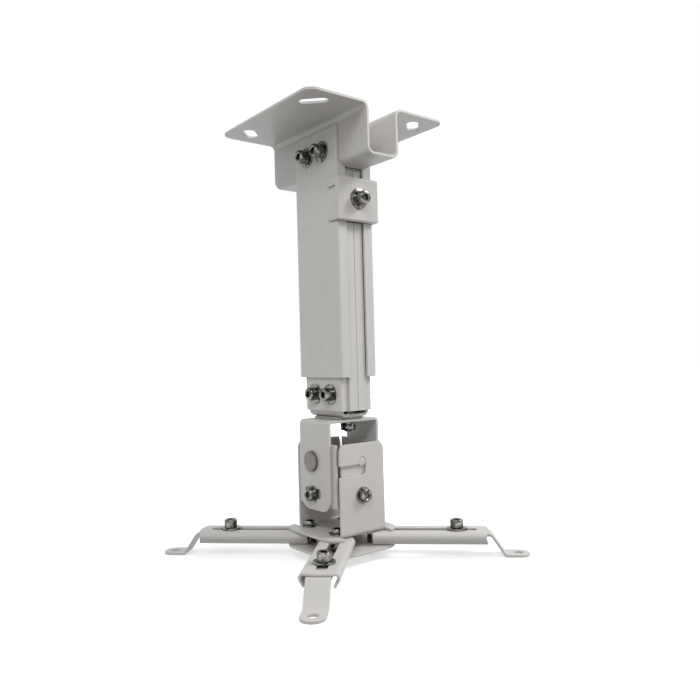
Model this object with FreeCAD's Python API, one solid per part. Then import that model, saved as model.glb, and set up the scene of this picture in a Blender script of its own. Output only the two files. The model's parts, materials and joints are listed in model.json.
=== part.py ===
import FreeCAD, Part
import math
import os

Vector = FreeCAD.Vector
X, Y, Z = Vector(1, 0, 0), Vector(0, 1, 0), Vector(0, 0, 1)
DOWN = -90.0

# Projector ceiling mount, in millimetres. The ceiling face is z = 0, the column's axis is x = y = 0,
# +Z points up and +X is the open face of the outer tube.

# Gaps between pieces
RUN_GAP = 0.3
SLIDE_GAP = 0.4
PIVOT_FIT = 0.05

# Ceiling bracket
HAT_LENGTH = 158.0
HAT_WIDTH = 166.0
HAT_CHANNEL = 37.6
HAT_DEPTH = 48.0
HAT_SHEET = 2.5
HAT_BEND = 5.0
WING_CORNER = 11.0
WING_SLOT_X = 55.5
WING_SLOT_Y = 61.0
WING_SLOT_LENGTH = 27.0
WING_SLOT_WIDTH = 11.5
TOP_SCREW_DROP = 31.0
COLUMN_SCREW_PITCH = 25.0

# Outer tube
OUTER_X = 70.0
OUTER_Y = 44.0
OUTER_WALL = 2.5
OUTER_CORNER = 2.4
OUTER_MOUTH = 21.6
OUTER_TOP = -10.5
OUTER_LENGTH = 242.5
LINE_COUNT = 3
LINE_MIDDLE = -4.7
LINE_PITCH = 9.1
LINE_WIDTH = 1.6
LINE_DEPTH = 0.35

# Inner tube
INNER_X = 59.0
INNER_WALL = 2.2
INNER_CORNER = 2.0
INNER_SHOWN = 33.0
INNER_BELOW_HAT = 3.0
PAD_MARGIN = 0.5
PAD_LINE_WIDTH = 0.8
PAD_LINE_DEPTH = 0.5
BACK_RIB_WIDTH = 3.0
BACK_RIB_PITCH = 26.0
LINER_LENGTH = 44.0
LINER_RIM = 2.0

# Height collar
COLLAR_WIDTH = 49.0
COLLAR_HEIGHT = 42.5
COLLAR_BELOW_HAT = 11.5
COLLAR_STAND = 6.0
COLLAR_WALL = 2.2
COLLAR_EAR_REACH = 12.0
COLLAR_EAR_HEIGHT = 9.0
COLLAR_ROUND = 1.8
COLLAR_SCREW_DROP = 21.0

# Swivel spigot
SPIGOT_X = 53.0
SPIGOT_SHEET = 3.0
SPIGOT_BEND = 2.5
SPIGOT_LEG = 37.0
SPIGOT_SHOWN = 6.0
SPIGOT_SCREW_RISE = 16.5
SWIVEL_PAD = 2.5
SWIVEL_PAD_R = 24.5
SWIVEL_RIVET_R = 4.0
SWIVEL_RIVET_HEAD_R = 6.2
SWIVEL_RIVET_HEAD = 2.0
SWIVEL_LOCK_R = 15.0
SWIVEL_TURN = 60.0

# Upper yoke
YOKE_X = 49.0
YOKE_Y = 62.8
YOKE_SHEET = 2.8
YOKE_BEND = 2.0
YOKE_HEIGHT = 88.5
YOKE_FOOT_R = 14.0
PIVOT_DROP = 40.5
PIVOT_X = -4.0
LOCK_RADIUS = 32.5
LOCK_SLOT = 9.5
TILT_LIMIT = 15.0

# Tilt bracket
TRAY_SHEET = 2.5
TRAY_BEND = 2.5
TRAY_X = 66.0
TRAY_RISE = 17.5
TRAY_DROP = 46.0
TRAY_CORNER_GAP = 4.8
TILT_RIVET_R = 5.0
TILT_RIVET_HEAD_R = 10.0
TILT_RIVET_HEAD = 3.2
TILT_RIVET_TAIL_R = 7.5
TILT_RIVET_TAIL = 1.5
ROLL_PIN_R = 4.4
ROLL_PIN_PROUD = -0.4

# Lower yoke
BASE_SHEET = 2.5
BASE_BEND = 2.5
BASE_PLATE_Y = 54.6
BASE_PLATE_ROUND = 7.0
BASE_DROP = 71.3
BASE_HALF = 43.0
BASE_CORNER = 16.4
HOOK_WIDTH = 10.8
HOOK_LIFT = 7.8
HOOK_FIT = 0.1

# Hub and lower plate
HUB_OFFSET = 23.0
PLATE_HALF = 47.0
PLATE_CORNER = 30.0
PLATE_SHEET = 2.5
SPACER_R = 7.0

# Arms
ARM_LENGTH = 113.5
ARM_WIDTH = 34.6
ARM_HEIGHT = 12.2
ARM_SHEET = 2.0
ARM_BEND = 2.6
ARM_CURL = 124.0
ARM_END_R = 46.0
ARM_SLOT = 10.0
ARM_SLOT_IN = 22.0
ARM_SLOT_END = 16.0
ARM_COUNT = 4

# Feet
FOOT_WIDTH = 20.8
FOOT_SHEET = 2.5
FOOT_BEND = 2.5
FOOT_TAIL = 10.0
FOOT_SCREW_AT = 82.5
FOOT_REACH = 70.5
FOOT_STRAIGHT = 33.0
FOOT_SLOPE = 56.0
FOOT_DROP = 24.9
FOOT_HOLE_R = 4.5
FOOT_HOLE_IN = 11.0

# Screws, washers and nuts, thread size 8
SHANK_R = 3.95
HOLE_R = 4.4
HEAD_R = 6.5
HEAD_HEIGHT = 8.0
HEAD_CHAMFER = 0.7
LOW_HEAD_HEIGHT = 5.0
HUB_HEAD_R = 5.3
SOCKET_ACROSS = 6.0
SOCKET_DEPTH = 4.0
WASHER_BORE = 4.2
WASHER_R = 8.0
WIDE_WASHER_R = 10.0
WASHER_THICK = 1.6
SPRING_R = 7.3
SPRING_THICK = 2.0
SPRING_SPLIT = 1.2
NUT_ACROSS = 13.0
NUT_HEIGHT = 6.5
NUT_BORE = 4.0
NUT_CHAMFER = 0.9
SCREW_TIP = 1.5

# Levels and widths that follow from the sizes above
OUTER_BOTTOM = OUTER_TOP - OUTER_LENGTH
INNER_Y = OUTER_Y - 2 * (OUTER_WALL + SLIDE_GAP)
INNER_BOTTOM = OUTER_BOTTOM - INNER_SHOWN
INNER_TOP = -HAT_DEPTH - INNER_BELOW_HAT
PAD_FACE = OUTER_X / 2 - OUTER_WALL - SLIDE_GAP
PAD_HALF = OUTER_MOUTH / 2 - PAD_MARGIN
COLLAR_FACE = OUTER_X / 2 + COLLAR_STAND
COLLAR_TOP = -HAT_DEPTH - COLLAR_BELOW_HAT
COLLAR_SCREW_Z = COLLAR_TOP - COLLAR_SCREW_DROP
SPIGOT_Y = INNER_Y - 2 * INNER_WALL
SPIGOT_BOTTOM = INNER_BOTTOM - SPIGOT_SHOWN
SPIGOT_SCREW_Z = INNER_BOTTOM + SPIGOT_SCREW_RISE
YOKE_TOP = SPIGOT_BOTTOM - SWIVEL_PAD
YOKE_UNDER = YOKE_TOP - YOKE_SHEET
PIVOT_Z = YOKE_TOP - PIVOT_DROP
LOCK_Z = PIVOT_Z - LOCK_RADIUS
TRAY_Y = YOKE_Y - 2 * (YOKE_SHEET + RUN_GAP)
TRAY_TOP = PIVOT_Z + TRAY_RISE
TRAY_BOTTOM = PIVOT_Z - TRAY_DROP
BASE_PLATE_X = TRAY_X / 2 + RUN_GAP + BASE_SHEET
BASE_UNDER = PIVOT_Z - BASE_DROP
BASE_TOP = BASE_UNDER + BASE_SHEET
ARM_TOP = BASE_UNDER - RUN_GAP
PLATE_TOP = ARM_TOP - ARM_HEIGHT - RUN_GAP
PLATE_UNDER = PLATE_TOP - PLATE_SHEET
HUB_RADIUS = HUB_OFFSET * math.sqrt(2)
FOOT_TOP = ARM_TOP - ARM_SHEET - RUN_GAP
FOOT_LEVEL = ARM_TOP - FOOT_DROP


def block(x0, x1, y0, y1, z0, z1):
    return Part.makeBox(x1 - x0, y1 - y0, z1 - z0, Vector(x0, y0, z0))


def rod(radius, start, end):
    return Part.makeCylinder(radius, (end - start).Length, start, end - start)


def joined(shapes):
    return shapes[0].multiFuse(shapes[1:]).removeSplitter()


def prism(edges, sweep):
    return Part.Face(Part.Wire(edges)).extrude(sweep)


def edges_along(shape, axis):
    """Straight edges of a shape that run along an axis."""
    found = []
    for edge in shape.Edges:
        ends = edge.Vertexes
        if len(ends) == 2:
            run = ends[1].Point - ends[0].Point
            if run.cross(axis).Length < 1e-6 and abs(edge.Length - run.Length) < 1e-6:
                found.append(edge)
    return found


def rounded_slab(half, corner, z0, z1):
    slab = block(-half, half, -half, half, z0, z1)
    return slab.makeFillet(corner, edges_along(slab, Z))


def slot(a, b, radius, sweep):
    """A round-ended slot from centre a to centre b, swept along a vector."""
    along = (b - a).normalize() * radius
    side = sweep.cross(b - a).normalize() * radius
    return prism([
        Part.LineSegment(a + side, b + side).toShape(),
        Part.Arc(b + side, b + along, b - side).toShape(),
        Part.LineSegment(b - side, a - side).toShape(),
        Part.Arc(a - side, a - along, a + side).toShape(),
    ], sweep)


def arc_slot(centre, radius, width, start, end, right, up, sweep):
    """A slot bent round a centre, between two angles in degrees from right towards up."""
    def at(distance, degrees):
        angle = math.radians(degrees)
        return centre + right * (distance * math.cos(angle)) + up * (distance * math.sin(angle))

    half = width / 2
    middle = (start + end) / 2
    cap = math.degrees(half / radius)
    return prism([
        Part.Arc(at(radius + half, start), at(radius + half, middle), at(radius + half, end)).toShape(),
        Part.Arc(at(radius + half, end), at(radius, end + cap), at(radius - half, end)).toShape(),
        Part.Arc(at(radius - half, end), at(radius - half, middle), at(radius - half, start)).toShape(),
        Part.Arc(at(radius - half, start), at(radius, start - cap), at(radius + half, start)).toShape(),
    ], sweep)


def bent_sheet(points, bend, thickness, right, up, start, sweep):
    """A sheet bent along a line of points, which is the middle of its thickness. Bend is the inner radius."""
    radius = bend + thickness / 2
    flat = [Vector(u, v, 0) for u, v in points]
    runs = [(b - a).normalize() for a, b in zip(flat, flat[1:])]

    def solid_point(p):
        return start + right * p.x + up * p.y

    def side(offset):
        """Straight and round stretches of one face, as lists of two or three points."""
        normals = [Z.cross(run) for run in runs]
        stretches = []
        last = flat[0] + normals[0] * offset
        for i in range(1, len(flat) - 1):
            turn = runs[i - 1].cross(runs[i]).z
            sign = 1 if turn > 0 else -1
            angle = runs[i - 1].getAngle(runs[i])
            back = radius * math.tan(angle / 2)
            centre = flat[i] - runs[i - 1] * back + normals[i - 1] * (sign * radius)
            reach = radius - sign * offset
            begin = centre - normals[i - 1] * (sign * reach)
            finish = centre - normals[i] * (sign * reach)
            middle = centre + (flat[i] - centre).normalize() * reach
            stretches += [[last, begin], [begin, middle, finish]]
            last = finish
        stretches.append([last, flat[-1] + normals[-1] * offset])
        return stretches

    left = side(thickness / 2)
    back = [line[::-1] for line in side(-thickness / 2)[::-1]]
    outline = left + [[left[-1][-1], back[0][0]]] + back + [[back[-1][-1], left[0][0]]]
    edges = []
    for line in outline:
        corners = [solid_point(p) for p in line]
        curve = Part.Arc(*corners) if len(corners) == 3 else Part.LineSegment(*corners)
        edges.append(curve.toShape())
    return prism(edges, sweep)


def hexagon(across, z0, z1):
    corner = across / math.sqrt(3)
    turns = [math.radians(60 * i) for i in range(7)]
    outline = [Vector(corner * math.cos(t), corner * math.sin(t), z0) for t in turns]
    return Part.Face(Part.makePolygon(outline)).extrude(Z * (z1 - z0))


def stood(shape, point, direction):
    """A shape drawn up its own Z axis, moved to a point and turned to a direction."""
    moved = shape.copy()
    moved.Placement = FreeCAD.Placement(point, FreeCAD.Rotation(Z, direction))
    return moved


def cap_screw(length, radius, height):
    """A socket head screw that stands on z = 0, with its shank below."""
    head = Part.makeCylinder(radius, height)
    rim = [e for e in head.Edges if e.BoundBox.ZMin > height - 1e-6]
    head = head.makeChamfer(HEAD_CHAMFER, rim)
    depth = SOCKET_DEPTH * height / HEAD_HEIGHT
    socket = hexagon(SOCKET_ACROSS, height - depth, height + 1)
    shank = rod(SHANK_R, Vector(0, 0, -length), Vector(0, 0, 0))
    return joined([head.cut(socket), shank])


def washer(radius):
    return Part.makeCylinder(radius, WASHER_THICK).cut(Part.makeCylinder(WASHER_BORE, WASHER_THICK))


def spring_washer():
    ring = Part.makeCylinder(SPRING_R, SPRING_THICK).cut(Part.makeCylinder(WASHER_BORE, SPRING_THICK))
    half = SPRING_SPLIT / 2
    return ring.cut(block(0, SPRING_R + 1, -half, half, -1, SPRING_THICK + 1))


def hex_nut():
    """A nut with both faces chamfered down to a circle."""
    turned = Part.makeCylinder(NUT_ACROSS / math.sqrt(3), NUT_HEIGHT)
    turned = turned.makeChamfer(NUT_CHAMFER, [e for e in turned.Edges if e.Closed])
    return hexagon(NUT_ACROSS, 0, NUT_HEIGHT).common(turned).cut(Part.makeCylinder(NUT_BORE, NUT_HEIGHT))


def screw_set(seat, direction, washer_r, length, sprung=True, head_r=HEAD_R, head=HEAD_HEIGHT):
    """A screw with its washers on a seat. Length is what the screw passes through below the seat."""
    stack = WASHER_THICK + (SPRING_THICK if sprung else 0)
    screw = stood(cap_screw(stack + length, head_r, head), seat + direction * stack, direction)
    washers = [stood(washer(washer_r), seat, direction)]
    if sprung:
        washers.append(stood(spring_washer(), seat + direction * WASHER_THICK, direction))
    return screw, washers


def through_set(x, z, half_y, washer_r, sprung):
    """A screw that runs from the -Y face right through to a nut beyond +Y, with its washers."""
    grip = 2 * half_y + WASHER_THICK + NUT_HEIGHT + SCREW_TIP
    screw, washers = screw_set(Vector(x, -half_y, z), -Y, washer_r, grip, sprung)
    far = stood(washer(washer_r), Vector(x, half_y, z), Y)
    nut = stood(hex_nut(), Vector(x, half_y + WASHER_THICK, z), Y)
    return screw, washers + [far], nut


def through_pair(z, half_y, washer_r, sprung):
    sets = [through_set(side * COLUMN_SCREW_PITCH / 2, z, half_y, washer_r, sprung) for side in (-1, 1)]
    screws = [s[0] for s in sets]
    washers = [w for s in sets for w in s[1]]
    nuts = [s[2] for s in sets]
    return screws, washers, nuts


def column_screw_holes(z, half_y):
    reach = half_y + 1
    return [rod(HOLE_R, Vector(side * COLUMN_SCREW_PITCH / 2, -reach, z),
                Vector(side * COLUMN_SCREW_PITCH / 2, reach, z)) for side in (-1, 1)]


def ceiling_bracket():
    """A hat folded from one sheet. Slits let the tube's end walls pass and keep the middle inside it."""
    half = HAT_SHEET / 2
    side = HAT_CHANNEL / 2 - half
    edge = HAT_WIDTH / 2
    floor = -HAT_DEPTH + half
    profile = [(-edge, -half), (-side, -half), (-side, floor), (side, floor), (side, -half), (edge, -half)]
    hat = bent_sheet(profile, HAT_BEND, HAT_SHEET, Y, Z, Vector(-HAT_LENGTH / 2, 0, 0), X * HAT_LENGTH)
    corners = [e for e in edges_along(hat, Z)
               if e.Length < 2 * HAT_SHEET and abs(e.CenterOfMass.y) > edge - 1]
    hat = hat.makeFillet(WING_CORNER, corners)
    cuts = column_screw_holes(-TOP_SCREW_DROP, HAT_CHANNEL / 2)
    reach = (WING_SLOT_LENGTH - WING_SLOT_WIDTH) / 2 / math.sqrt(2)
    for sx in (-1, 1):
        for sy in (-1, 1):
            middle = Vector(sx * WING_SLOT_X, sy * WING_SLOT_Y, -HAT_SHEET - 1)
            run = Vector(sx * reach, -sy * reach, 0)
            cuts.append(slot(middle - run, middle + run, WING_SLOT_WIDTH / 2, Z * (HAT_SHEET + 2)))
    outside = OUTER_X / 2 + SLIDE_GAP
    inside = OUTER_X / 2 - OUTER_WALL - SLIDE_GAP
    for sx in (-1, 1):
        x0, x1 = sorted((sx * inside, sx * outside))
        cuts.append(block(x0, x1, -HAT_CHANNEL, HAT_CHANNEL, -HAT_DEPTH - 1, OUTER_TOP + SLIDE_GAP))
    return hat.cut(cuts)


def tube_body(size_x, size_y, corner, z0, z1):
    tube = block(-size_x / 2, size_x / 2, -size_y / 2, size_y / 2, z0, z1)
    return tube.makeFillet(corner, edges_along(tube, Z))


def outer_tube():
    tube = tube_body(OUTER_X, OUTER_Y, OUTER_CORNER, OUTER_BOTTOM, OUTER_TOP)
    inside_x = OUTER_X / 2 - OUTER_WALL
    inside_y = OUTER_Y / 2 - OUTER_WALL
    cuts = column_screw_holes(-TOP_SCREW_DROP, OUTER_Y / 2)
    cuts.append(block(-inside_x, inside_x, -inside_y, inside_y, OUTER_BOTTOM - 1, OUTER_TOP + 1))
    mouth = OUTER_MOUTH / 2
    cuts.append(block(0, OUTER_X, -mouth, mouth, OUTER_BOTTOM - 1, OUTER_TOP + 1))
    scoop_r = (LINE_WIDTH ** 2 / 4 + LINE_DEPTH ** 2) / (2 * LINE_DEPTH)
    off = OUTER_Y / 2 - LINE_DEPTH + scoop_r
    for i in range(LINE_COUNT):
        x = LINE_MIDDLE + (i - (LINE_COUNT - 1) / 2) * LINE_PITCH
        for y in (-off, off):
            cuts.append(rod(scoop_r, Vector(x, y, OUTER_BOTTOM - 1), Vector(x, y, OUTER_TOP + 1)))
    return tube.cut(cuts)


def inner_tube():
    tube = tube_body(INNER_X, INNER_Y, INNER_CORNER, INNER_BOTTOM, INNER_TOP)
    face = INNER_X / 2
    pad = block(0, PAD_FACE, -PAD_HALF, PAD_HALF, INNER_BOTTOM, INNER_TOP)
    ribs = [block(-PAD_FACE, 0, y - BACK_RIB_WIDTH / 2, y + BACK_RIB_WIDTH / 2, INNER_BOTTOM, INNER_TOP)
            for y in (-BACK_RIB_PITCH / 2, BACK_RIB_PITCH / 2)]
    inside_x = face - INNER_WALL
    inside_y = INNER_Y / 2 - INNER_WALL
    cuts = column_screw_holes(SPIGOT_SCREW_Z, INNER_Y / 2)
    cuts.append(block(-inside_x, inside_x, -inside_y, inside_y, INNER_BOTTOM - 1, INNER_TOP + 1))
    cuts.append(block(0, PAD_FACE - INNER_WALL, INNER_WALL - PAD_HALF, PAD_HALF - INNER_WALL,
                      INNER_BOTTOM - 1, INNER_TOP + 1))
    cuts.append(block(PAD_FACE - PAD_LINE_DEPTH, PAD_FACE + 1, -PAD_LINE_WIDTH / 2, PAD_LINE_WIDTH / 2,
                      INNER_BOTTOM - 1, INNER_TOP + 1))
    cuts.append(rod(HOLE_R, Vector(0, 0, COLLAR_SCREW_Z), Vector(PAD_FACE + 1, 0, COLLAR_SCREW_Z)))
    return joined([tube, pad] + ribs).cut(cuts)


def guide_liner():
    """A moulded shoe on the inner tube's upper end that fills the gap to the outer tube."""
    top = INNER_TOP + LINER_RIM
    bottom = top - LINER_LENGTH
    half_y = INNER_Y / 2
    face = INNER_X / 2
    shoe = block(-PAD_FACE, PAD_FACE, -half_y, half_y, bottom, top)
    inside_x = face - INNER_WALL
    inside_y = half_y - INNER_WALL
    rib = BACK_RIB_WIDTH / 2
    cuts = [
        block(-face, face, -half_y - 1, half_y + 1, bottom - 1, INNER_TOP),
        block(-inside_x, inside_x, -inside_y, inside_y, bottom - 1, top + 1),
        block(0, PAD_FACE + 1, -PAD_HALF, PAD_HALF, bottom - 1, INNER_TOP),
    ]
    for y in (-BACK_RIB_PITCH / 2, BACK_RIB_PITCH / 2):
        cuts.append(block(-PAD_FACE - 1, 0, y - rib, y + rib, bottom - 1, INNER_TOP))
    return shoe.cut(cuts)


def height_collar():
    """A pressed clamp plate on the tube's open face, with four ears that wrap round its sides."""
    back = OUTER_X / 2 + RUN_GAP
    inner_y = OUTER_Y / 2 + RUN_GAP
    half = COLLAR_WIDTH / 2
    low = COLLAR_TOP - COLLAR_HEIGHT
    reach = OUTER_X / 2 - COLLAR_EAR_REACH
    body = block(reach, COLLAR_FACE, -half, half, low, COLLAR_TOP)
    body = body.makeFillet(COLLAR_ROUND, edges_along(body, Y) + edges_along(body, X))
    ear_low = low + COLLAR_EAR_HEIGHT
    ear_high = COLLAR_TOP - COLLAR_EAR_HEIGHT
    wall = COLLAR_WALL
    cuts = [
        block(reach - 1, back, -inner_y, inner_y, low - 1, COLLAR_TOP + 1),
        block(reach - 1, back, -half - 1, half + 1, ear_low, ear_high),
        block(back - 1, COLLAR_FACE - wall, wall - half, half - wall, low + wall, COLLAR_TOP - wall),
        rod(HOLE_R, Vector(0, 0, COLLAR_SCREW_Z), Vector(COLLAR_FACE + 1, 0, COLLAR_SCREW_Z)),
    ]
    return body.cut(cuts)


def collar_fasteners():
    seat = Vector(COLLAR_FACE, 0, COLLAR_SCREW_Z)
    nut_face = PAD_FACE - INNER_WALL
    grip = COLLAR_FACE - nut_face + NUT_HEIGHT + SCREW_TIP
    screw, washers = screw_set(seat, X, WIDE_WASHER_R, grip)
    nut = stood(hex_nut(), Vector(nut_face, 0, COLLAR_SCREW_Z), -X)
    return screw, washers, nut


def swivel_spigot():
    """A folded U in the inner tube's lower end. Its web stands below the tube and carries the head."""
    half = SPIGOT_SHEET / 2
    side = SPIGOT_Y / 2 - half
    profile = [(-side, SPIGOT_BOTTOM + SPIGOT_LEG), (-side, SPIGOT_BOTTOM + half),
               (side, SPIGOT_BOTTOM + half), (side, SPIGOT_BOTTOM + SPIGOT_LEG)]
    spigot = bent_sheet(profile, SPIGOT_BEND, SPIGOT_SHEET, Y, Z, Vector(-SPIGOT_X / 2, 0, 0), X * SPIGOT_X)
    cuts = column_screw_holes(SPIGOT_SCREW_Z, SPIGOT_Y / 2)
    deep = Vector(0, 0, SPIGOT_BOTTOM - 1)
    tall = Vector(0, 0, SPIGOT_BOTTOM + SPIGOT_SHEET + 1)
    cuts.append(rod(SWIVEL_RIVET_R, deep, tall))
    cuts.append(rod(HOLE_R, deep + X * SWIVEL_LOCK_R, tall + X * SWIVEL_LOCK_R))
    return spigot.cut(cuts)


def swivel_rivet():
    top = SPIGOT_BOTTOM + SPIGOT_SHEET
    low = YOKE_UNDER - RUN_GAP
    head = SWIVEL_RIVET_HEAD
    return joined([
        rod(SWIVEL_RIVET_HEAD_R, Vector(0, 0, top), Vector(0, 0, top + head)),
        rod(SWIVEL_RIVET_R, Vector(0, 0, low), Vector(0, 0, top)),
        rod(SWIVEL_RIVET_HEAD_R, Vector(0, 0, low - head), Vector(0, 0, low)),
    ])


def swivel_pad():
    """A slip washer between the spigot and the yoke, with flats to the spigot's width."""
    low, high = YOKE_TOP + RUN_GAP, SPIGOT_BOTTOM
    disc = rod(SWIVEL_PAD_R, Vector(0, 0, low), Vector(0, 0, high))
    disc = disc.common(block(-SWIVEL_PAD_R, SWIVEL_PAD_R, -SPIGOT_Y / 2, SPIGOT_Y / 2, low, high))
    deep, tall = Vector(0, 0, low - 1), Vector(0, 0, high + 1)
    bores = [rod(SWIVEL_RIVET_R, deep, tall), rod(HOLE_R, deep + X * SWIVEL_LOCK_R, tall + X * SWIVEL_LOCK_R)]
    return disc.cut(bores)


def swivel_lock():
    seat = Vector(SWIVEL_LOCK_R, 0, SPIGOT_BOTTOM + SPIGOT_SHEET)
    under = YOKE_UNDER - RUN_GAP
    grip = seat.z - under + WASHER_THICK + NUT_HEIGHT + SCREW_TIP
    screw, washers = screw_set(seat, Z, WASHER_R, grip)
    low_washer = stood(washer(WASHER_R), Vector(SWIVEL_LOCK_R, 0, under), -Z)
    nut = stood(hex_nut(), Vector(SWIVEL_LOCK_R, 0, under - WASHER_THICK), -Z)
    return screw, washers + [low_washer], nut


def upper_yoke():
    """A folded U, open side down. Its legs carry the tilt pivots and curved slots for the lock screws."""
    half = YOKE_SHEET / 2
    side = YOKE_Y / 2 - half
    foot = YOKE_TOP - YOKE_HEIGHT
    profile = [(-side, foot), (-side, YOKE_TOP - half), (side, YOKE_TOP - half), (side, foot)]
    yoke = bent_sheet(profile, YOKE_BEND, YOKE_SHEET, Y, Z, Vector(-YOKE_X / 2, 0, 0), X * YOKE_X)
    corners = [e for e in edges_along(yoke, Y) if e.Length < 2 * YOKE_SHEET and e.CenterOfMass.z < foot + 1]
    yoke = yoke.makeFillet(YOKE_FOOT_R, corners)
    deep, tall = Vector(0, 0, YOKE_UNDER - 1), Vector(0, 0, YOKE_TOP + 1)
    play = math.degrees((HOLE_R - SHANK_R) / SWIVEL_LOCK_R)
    turn = SWIVEL_TURN + play
    pivot = Vector(PIVOT_X, -YOKE_Y, PIVOT_Z)
    across = Y * (2 * YOKE_Y)
    swing = TILT_LIMIT + math.degrees((HOLE_R - SHANK_R) / LOCK_RADIUS)
    cuts = [
        rod(SWIVEL_RIVET_R + PIVOT_FIT, deep, tall),
        arc_slot(deep, SWIVEL_LOCK_R, 2 * HOLE_R, -turn, turn, X, Y, tall - deep),
        rod(TILT_RIVET_R + PIVOT_FIT, pivot, pivot + across),
        arc_slot(pivot, LOCK_RADIUS, LOCK_SLOT, DOWN - swing, DOWN + swing, X, Z, across),
    ]
    return yoke.cut(cuts)


def tray_fold(half_wall, right, length, floor_half):
    """Two opposite walls of the tilt bracket and the floor between them."""
    half = TRAY_SHEET / 2
    side = half_wall - half
    floor = TRAY_BOTTOM + half
    profile = [(-side, TRAY_TOP), (-side, floor), (side, floor), (side, TRAY_TOP)]
    across = X if right == Y else Y
    fold = bent_sheet(profile, TRAY_BEND, TRAY_SHEET, right, Z, across * (-length / 2), across * length)
    if floor_half:
        bend_top = TRAY_BOTTOM + TRAY_SHEET + TRAY_BEND
        inner = half_wall - TRAY_SHEET - TRAY_BEND
        for sx in (-1, 1):
            x0, x1 = sorted((sx * floor_half, sx * length))
            fold = fold.cut(block(x0, x1, -inner, inner, TRAY_BOTTOM - 1, bend_top))
    return fold


def tilt_bracket():
    """A tray folded from a cross-shaped blank, so its four corners stay open."""
    wall_x = TRAY_X / 2
    long_walls = tray_fold(TRAY_Y / 2, Y, TRAY_X - 2 * TRAY_SHEET, wall_x - TRAY_SHEET - TRAY_BEND)
    short_walls = tray_fold(wall_x, X, TRAY_Y - 2 * TRAY_CORNER_GAP, 0)
    swing = TILT_LIMIT + math.degrees((HOLE_R - SHANK_R) / LOCK_RADIUS)
    pivot = Vector(PIVOT_X, -TRAY_Y, PIVOT_Z)
    lock = Vector(PIVOT_X, -TRAY_Y, LOCK_Z)
    roll = Vector(-TRAY_X, 0, PIVOT_Z)
    cuts = [
        rod(TILT_RIVET_R, pivot, pivot + Y * (2 * TRAY_Y)),
        rod(HOLE_R, lock, lock + Y * (2 * TRAY_Y)),
        rod(ROLL_PIN_R, roll, roll + X * (2 * TRAY_X)),
        arc_slot(roll, LOCK_RADIUS, LOCK_SLOT, DOWN - swing, DOWN + swing, Y, Z, X * (2 * TRAY_X)),
    ]
    return joined([long_walls, short_walls]).cut(cuts)


def tilt_rivets():
    """Shoulder rivets with large flat heads, fixed in the tray and turning in the yoke."""
    rivets = []
    inside = TRAY_Y / 2 - TRAY_SHEET
    outside = YOKE_Y / 2 + RUN_GAP
    for side in (-1, 1):
        def at(distance):
            return Vector(PIVOT_X, side * distance, PIVOT_Z)
        head = rod(TILT_RIVET_HEAD_R, at(outside), at(outside + TILT_RIVET_HEAD))
        rim = [e for e in head.Edges if abs(abs(e.CenterOfMass.y) - outside - TILT_RIVET_HEAD) < 1e-6
               and e.Closed]
        head = head.makeFillet(TILT_RIVET_HEAD / 3, rim)
        rivets.append(joined([
            head,
            rod(TILT_RIVET_R, at(inside), at(outside)),
            rod(TILT_RIVET_TAIL_R, at(inside - TILT_RIVET_TAIL), at(inside)),
        ]))
    return rivets


def tilt_locks():
    screws, washers, nuts = [], [], []
    inside = TRAY_Y / 2 - TRAY_SHEET
    outside = YOKE_Y / 2 + RUN_GAP
    for side in (-1, 1):
        seat = Vector(PIVOT_X, side * outside, LOCK_Z)
        grip = outside - inside + NUT_HEIGHT + SCREW_TIP
        screw, pair = screw_set(seat, Y * side, WASHER_R, grip, False, head=LOW_HEAD_HEIGHT)
        screws.append(screw)
        washers += pair
        nuts.append(stood(hex_nut(), Vector(PIVOT_X, side * inside, LOCK_Z), Y * -side))
    return screws, washers, nuts


def roll_pins():
    pins = []
    inside = TRAY_X / 2 - TRAY_SHEET
    for side in (-1, 1):
        def at(distance):
            return Vector(side * distance, 0, PIVOT_Z)
        pins.append(joined([
            rod(ROLL_PIN_R, at(inside), at(BASE_PLATE_X + ROLL_PIN_PROUD)),
            rod(TILT_RIVET_TAIL_R, at(inside - TILT_RIVET_TAIL), at(inside)),
        ]))
    return pins


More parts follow.
